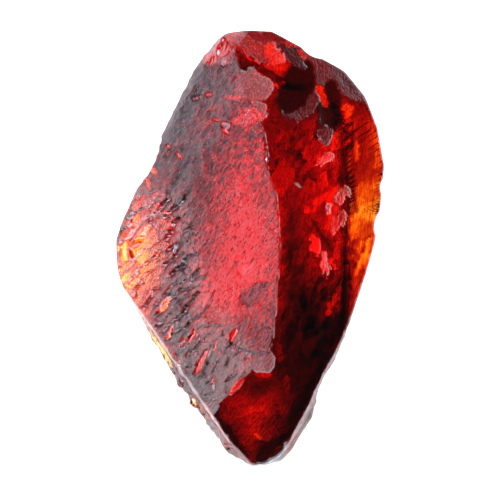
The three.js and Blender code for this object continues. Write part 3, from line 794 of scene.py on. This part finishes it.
# Crisp marks: the middle and half the length and width, in pixels, the turn of the length, the
# light there, how etched they are, and how many millimetres they stand proud.
MARKS = {
    "smooth triangle": ((282, 177), (13, 10), 50, 0.5, 0.0, 0.0),
    "dark beside the upper ridge": ((269, 142), (26, 5), 88, 0.22, 0.0, 0.0),
    "brown rim": ((322, 66), (56, 11), -43, 0.14, 0.4, 0.0),
    "satin below the shoulder": ((253, 88), (16, 19), 95, 0.38, 0.85, 0.0),
    "satin by the upper ridge": ((257, 113), (9, 9), 100, 0.42, 0.85, 0.0),
    # painted shade: the large spoon is painted dark, darkest at its floor
    "large spoon": ((301, 97), (31, 19), 58, 0.13, 0.38, 0.0),
    "floor of the large spoon": ((295, 88), (29, 16), 66, 0.03, 0.1, 0.0),
    "crest": ((221, 51), (23, 12), 38, 0.5, 0.25, 0.0),
    "facet of the shoulder": ((258, 51), (26, 13), -28, 0.36, 0.4, 0.0),
    "red of the shoulder": ((273, 57), (12, 9), -35, 0.85, 0.4, 0.0),
    # painted shade: the small spoon is painted dark
    "small spoon": ((328, 112), (31, 12), 86, 0.04, 0.2, 0.0),
    "foot of the small spoon": ((325, 137), (9, 8), 86, 0.13, 0.4, 0.0),
    "crescent between the spoons": ((321, 97), (12, 4), 112, 0.85, 0.0, 0.0),
    "mauve band": ((291, 56), (22, 6), -50, 0.06, 0.36, 0.0),
    "top of the shoulder": ((266, 38), (24, 6), -8, 0.2, 0.36, 0.0),
    "amber at the rim": ((290, 45), (8, 3.5), -35, 0.4, 0.36, 0.0),
    "amber of the rim": ((302, 55), (6, 4), -60, 0.4, 0.36, 0.0),
    "shade below the shoulder": ((249, 66), (9, 5), -20, 0.12, 0.0, 0.0),
    "spark below the shoulder": ((278, 86), (6, 3), 0, 1.0, 0.0, 0.0),
    "red below the shoulder": ((264, 76), (12, 5), -30, 0.75, 0.0, 0.0),
    "lens below the crest": ((224, 64), (8, 4), -8, 0.3, 0.5, -0.03),
    "flat fleck": ((209, 96), (5, 2), 5, 0.8, 0.5, -0.05),
    "flat fleck below": ((197, 99), (6, 2), 15, 0.3, 0.0, -0.08),
    "patch by the ridge": ((247, 121), (15, 6), 12, 0.7, 0.8, 0.0),
    "ragged end of the patch": ((259, 118), (6, 3), 15, 1.0, 0.7, 0.0),
    "fleck of the upper satin": ((235, 100), (9, 2), 5, 0.8, 0.8, 0.0),
    "second fleck of it": ((250, 112), (8, 2), 8, 0.9, 0.8, 0.0),
    "glossy triangle": ((226, 127), (6, 4), -20, 0.3, 0.45, -0.1),
    "its orange foot": ((226, 133), (4, 1.8), -40, 1.3, 0.5, -0.05),
    "fleck": ((216, 121), (4, 1.6), -10, 1.1, 0.5, -0.05),
    "slash at the rim": ((170, 147), (4, 1.6), -35, 1.2, 0.1, -0.05),
    "slash below it": ((180, 157), (4, 1.6), -55, 1.2, 0.1, -0.05),
    "bead at the rim": ((155, 171), (3.5, 2), -50, 1.2, 0.1, 0.05),
    "slash of the rim": ((149, 184), (6, 1.8), -65, 1.2, 0.1, 0.05),
    "glow in the main face": ((247, 268), (10, 6), 30, 1.7, 0.8, 0.0),
    "wedge under the crack": ((143, 233), (12, 5), 50, 0.85, 0.1, -0.05),
    "glow at the rim": ((125, 252), (9, 2.4), 96, 1.1, 0.1, 0.0),
    "dent": ((253, 292), (16, 8), 35, 0.3, 0.95, -0.16),
    "basin": ((215, 313), (11, 8), 20, 0.6, 0.9, -0.14),
    "slash 1": ((201, 361), (15, 2.6), 64, 1.1, 0.0, -0.12),
    "slash 2": ((192, 334), (8, 2), 66, 1.1, 0.0, -0.1),
    "slash 3": ((171, 331), (8, 2.2), 62, 1.2, 0.1, -0.1),
    "slash 4": ((164, 304), (9, 3.2), 58, 1.2, 0.3, -0.1),
    "slash 5": ((183, 341), (7, 1.8), 66, 1.0, 0.0, -0.08),
    "slash 6": ((234, 333), (7, 2), 60, 0.8, 0.0, -0.06),
    "slash 7": ((216, 343), (7, 1.3), 66, 0.7, 0.0, -0.05),
    "slash 8": ((180, 360), (7, 1.4), 66, 0.8, 0.0, -0.06),
    "shadow by the parallelogram": ((341, 180), (7, 2.6), 15, 0.35, 0.0, 0.0),
    "glimmer 1": ((323, 160), (10, 4), 32, 1.2, 0.45, 0.0),
    "glimmer 2": ((341, 195), (12, 5), 58, 1.6, 0.45, 0.0),
    "glimmer 3": ((318, 202), (12, 2.8), 55, 1.1, 0.1, 0.0),
    "glimmer 4": ((327, 207), (5, 3), 65, 1.4, 0.7, 0.0),
    "glimmer 5": ((305, 209), (5, 3.5), 70, 0.95, 0.0, 0.0),
    "glimmer 6": ((337, 222), (13, 4.5), 62, 1.3, 0.38, 0.0),
    "glimmer 7": ((314, 244), (11, 5), 108, 1.25, 0.25, 0.0),
    "glimmer 8": ((324, 264), (12, 3), 92, 1.2, 0.4, 0.0),
    "glimmer 9": ((331, 262), (6, 2.5), 100, 1.1, 0.0, 0.0),
    "glimmer 10": ((345, 112), (8, 6), 60, 0.85, 0.0, 0.0),
    "glimmer 11": ((338, 141), (8, 8), 50, 1.1, 0.0, 0.0),
    "glimmer 12": ((352, 152), (11, 7), 80, 0.8, 0.0, 0.0),
    "glimmer 13": ((333, 300), (16, 4), 70, 0.5, 0.0, 0.0),
    "satin above the tip": ((262, 358), (13, 12), 100, 0.27, 0.85, 0.0),
    "slash of the tip": ((236, 384), (11, 3), 50, 0.75, 0.3, 0.0),
    "patch above the tip": ((262, 372), (8, 3), 0, 0.55, 0.0, 0.0),
    "flap of the tip": ((258, 434), (5, 2), -40, 0.9, 0.0, 0.0),
    "second flap of the tip": ((267, 436), (4, 1.5), 30, 0.8, 0.0, 0.0),
    "shade under the flaps": ((259, 440), (6, 3), 0, 0.1, 0.0, 0.0),
    "shade beside the tip": ((276, 453), (12, 6), 40, 0.03, 0.1, 0.0),
    "glimmer 14": ((279, 350), (10, 3), 92, 0.16, 0.0, 0.0),
    "glimmer 15": ((286, 382), (10, 3), 92, 0.15, 0.0, 0.0),
}
MARK_RAGGED = 0.16
MARK_JAGGED = 0.35  # on the glassy faces
for at, half, turn, level, satin, lift in MARKS.values():
    off_middle = oval(at, half, turn, MARK_RAGGED, MARK_JAGGED * rough_break)
    weight = upper * between(off_middle, 1.12, 0.87)
    light += weight * (level - light)
    etched += weight * (satin - etched)
    relief += weight * lift

# Cracks and growth steps, as lines through corners: the corners and the width in pixels, the depth
# in millimetres, and the light in them. Each narrows to a quarter of its width at its ends.
CRACKS = {
    "amber crack": ([(130, 241), (138, 229), (147, 219), (156, 216)], 2.4, 0.16, 0.25),
    "growth step": ([(190, 158), (177, 179), (168, 193), (160, 212)], 2.4, 0.2, 0.03),
    "second growth step": ([(193, 184), (187, 196), (179, 202), (171, 213)], 2.4, 0.2, 0.03),
    "cross step": ([(156, 216), (163, 216), (172, 219)], 1.7, 0.16, 0.1),
    "edge of the gash": ([(178, 268), (186, 266), (192, 270)], 1.7, 0.14, 0.1),
    "arc of the lobe": ([(165, 281), (170, 284), (178, 283)], 1.8, 0.14, 0.2),
    "long arc of the lobe": ([(158, 288), (168, 294), (181, 290)], 1.6, 0.14, 0.08),
    "dark line of the lobe": ([(192, 279), (198, 276), (205, 279)], 1.6, 0.12, 0.1),
    "short step": ([(177, 172), (183, 168)], 1.2, 0.08, 0.15),
    "smile": ([(176, 147), (185, 151), (193, 148)], 1.2, 0.1, 0.08),
    "arc": ([(226, 337), (238, 347), (252, 352), (269, 350)], 1.5, 0.14, 0.03),
    "lip of the basin": ([(205, 325), (214, 323), (224, 325)], 1.3, 0.1, 0.08),
    "crescent": ([(186, 316), (193, 318), (201, 316)], 1.4, 0.1, 0.08),
    "gash": ([(183, 238), (190, 234), (198, 234)], 2.0, 0.14, 0.1),
    "lip of the dent": ([(240, 299), (250, 305), (258, 300)], 1.2, 0.1, 0.1),
    "scratch": ([(188, 108), (193, 96), (199, 88)], 1.3, 0.08, 0.12),
    # The last four have no depth: they are only lines of painted light and shade.
    "seam of the shoulder": ([(236, 42), (248, 61), (265, 71), (284, 72)], 1.0, 0.0, 0.8),
    "mauve line": ([(351, 112), (351, 186), (354, 212)], 2.8, 0.0, 0.18),
    "lower mauve line": ([(346, 205), (349, 250), (351, 290)], 1.3, 0.0, 0.3),
    "dark band": ([(310, 219), (318, 232), (332, 252)], 2.6, 0.0, 0.08),
}
CRACK_RAGGED = 0.1
CRACK_LEAST = 0.03  # the least width, in millimetres
for pixels, width, depth, level in CRACKS.values():
    off, along = off_line(pixels, CRACK_RAGGED)
    tapered = millimetres(width) * (0.25 + 3 * along * (1 - along))
    weight = upper * np.exp(-(off / np.maximum(tapered, CRACK_LEAST)) ** 2)
    light += weight * (level - light)
    relief -= weight * depth

outward = grid_normals(smooth_points, directions)
points = smooth_points + outward * relief[..., None]


def close_grid(grid):
    """The values of the grid with one vertex at each pole, in the order tip, rows, shoulder."""
    flat = grid[1:-1].reshape(-1, *grid.shape[2:])
    return np.concatenate([grid[:1, 0], flat, grid[-1:, 0]])


def grid_faces():
    """Quads between neighbouring rows, and a fan of triangles round each pole."""
    rows, columns = ROWS - 1, COLUMNS
    index = 1 + np.arange(rows * columns).reshape(rows, columns)
    beside = np.roll(index, -1, axis=1)
    quads = np.stack([index[:-1], index[1:], beside[1:], beside[:-1]], axis=-1).reshape(-1, 4)
    last = rows * columns + 1
    tip = [(0, int(a), int(b)) for a, b in zip(index[0], beside[0])]
    top = [(last, int(b), int(a)) for a, b in zip(index[-1], beside[-1])]
    return quads.tolist() + tip + top


# The relief changes the size a little, so the points are fitted to the box of the CAD, which also
# turns millimetres into metres
vertices = close_grid(points)
low, high = vertices.min(axis=0), vertices.max(axis=0)
box_low, box_high = (np.array(corner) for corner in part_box("pyrope_garnet"))
vertices = box_low + (vertices - low) / (high - low) * (box_high - box_low)

mesh = bpy.data.meshes.new("garnet")
mesh.from_pydata(vertices.tolist(), [], grid_faces())
mesh.polygons.foreach_set("use_smooth", np.ones(len(mesh.polygons), bool))
for name, grid in (("light", light), ("etched", np.clip(etched, 0, 1))):
    values = mesh.attributes.new(name, "FLOAT", "POINT")
    values.data.foreach_set("value", close_grid(grid).astype(np.float32))
mesh.update()
garnet = bpy.data.objects.new("garnet", mesh)
scene.collection.objects.link(garnet)

# Its material: a clear red body that takes its colour from how far the light goes through it. The
# values on the mesh tint its surface with painted light and shade, and roughen it.
REFRACTION = 1.74
ABSORPTION = np.array((35.0, 640.0, 2500.0))  # per metre, of red, green and blue light
GLASS_ROUGHNESS = 0.05
SATIN_ROUGHNESS = 0.38  # added where the stone is etched
FLECK_GLOSS = 0.8  # how much of that the glossy flecks in the satin take off
SPECKLE_CONTRAST = 3.2
STREAK_CONTRAST = 3.8
WAVE_CONTRAST = 1.2
LEAST_MOTTLE = 0.1
BUMP_STRENGTH = 0.8
BUMP_HEIGHT = 0.00018  # metres

material = bpy.data.materials.new("pyrope")
material.use_nodes = True
nodes, links = material.node_tree.nodes, material.node_tree.links
shader = nodes["Principled BSDF"]
shader.inputs["Transmission Weight"].default_value = 1.0
shader.inputs["IOR"].default_value = REFRACTION
density = float(ABSORPTION.max() * 1.02)  # a little more than the strongest absorption
body = nodes.new("ShaderNodeVolumeAbsorption")
body.inputs["Color"].default_value = (*(1 - ABSORPTION / density), 1.0)
body.inputs["Density"].default_value = density
links.new(body.outputs["Volume"], nodes["Material Output"].inputs["Volume"])


class Wire:
    """A socket of the material, on which Python's operators add Math nodes."""

    def __init__(self, socket):
        self.socket = socket

    def __add__(self, other):
        return maths("ADD", self, other)

    def __sub__(self, other):
        return maths("SUBTRACT", self, other)

    def __rsub__(self, other):
        return maths("SUBTRACT", other, self)

    def __mul__(self, other):
        return maths("MULTIPLY", self, other)

    __radd__ = __add__


def node(kind, settings, values, output=0):
    """A node of a kind with its settings, the values or links of its sockets, and its output."""
    made = nodes.new(kind)
    for name, value in settings.items():
        setattr(made, name, value)
    for name, value in values.items():
        if isinstance(value, Wire):
            links.new(value.socket, made.inputs[name])
        else:
            made.inputs[name].default_value = value
    return Wire(made.outputs[output])


def maths(operation, *values):
    """A Math node on one or two values."""
    return node("ShaderNodeMath", {"operation": operation}, dict(enumerate(values)))


def attribute(name):
    """The values that the mesh carries under a name."""
    return node("ShaderNodeAttribute", {"attribute_name": name}, {}, "Fac")


def smooth_step(value, none, full):
    """A smooth step from 0 to 1 between two values."""
    return node(
        "ShaderNodeMapRange", {"interpolation_type": "SMOOTHSTEP"},
        {"Value": value, "From Min": none, "From Max": full},
    )


def grain_noise(grain, length, width, detail):
    """Noise in cells that are stretched along a direction in plan; sizes are in millimetres."""
    place = node("ShaderNodeTexCoord", {}, {}, "Object")
    place = node("ShaderNodeMapping", {"vector_type": "TEXTURE"}, {
        "Vector": place, "Rotation": (0, 0, math.radians(grain)),
        "Scale": (0.001 * length, 0.001 * width, 0.001 * width),
    })
    return node("ShaderNodeTexNoise", {}, {"Vector": place, "Scale": 1.0, "Detail": detail})


through = attribute("light")
etching = attribute("etched")
speckle = grain_noise(GRAIN, 0.2, 0.1, 2.0)
streak = grain_noise(GRAIN, 0.9, 0.12, 2.0)
waves = grain_noise(80, 1.1, 0.12, 2.0)
flecks = grain_noise(GRAIN, 0.7, 0.2, 1.0)

# The colour is the square of the light, mottled by noise. Green and blue fall faster than red as
# it dims, so that what is bright is clear, and what is dim is deep red.
satin_mottle = (speckle - 0.5) * SPECKLE_CONTRAST + (streak - 0.5) * STREAK_CONTRAST
glass_mottle = (waves - 0.5) * WAVE_CONTRAST
mottle = 1 + etching * satin_mottle + (1 - etching) * glass_mottle
mottled = through * maths("MAXIMUM", mottle, LEAST_MOTTLE)
red = mottled * mottled
dimming = maths("MINIMUM", red, 1)
green = red * dimming * dimming
colour = node("ShaderNodeCombineColor", {}, {"Red": red, "Green": green, "Blue": green * dimming})
links.new(colour.socket, shader.inputs["Base Color"])

# The satin is rough, except in small glossy flecks, and its grain stands out
glossy = etching * smooth_step(flecks, 0.57, 0.63)
roughness = GLASS_ROUGHNESS + etching * SATIN_ROUGHNESS * (1 - glossy * FLECK_GLOSS)
links.new(roughness.socket, shader.inputs["Roughness"])
bump = node("ShaderNodeBump", {}, {
    "Height": (speckle + streak * 1.5) * etching * etching,
    "Strength": BUMP_STRENGTH, "Distance": BUMP_HEIGHT,
})
links.new(bump.socket, shader.inputs["Normal"])
garnet.data.materials.append(material)

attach(garnet, "root")
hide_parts("pyrope_garnet")
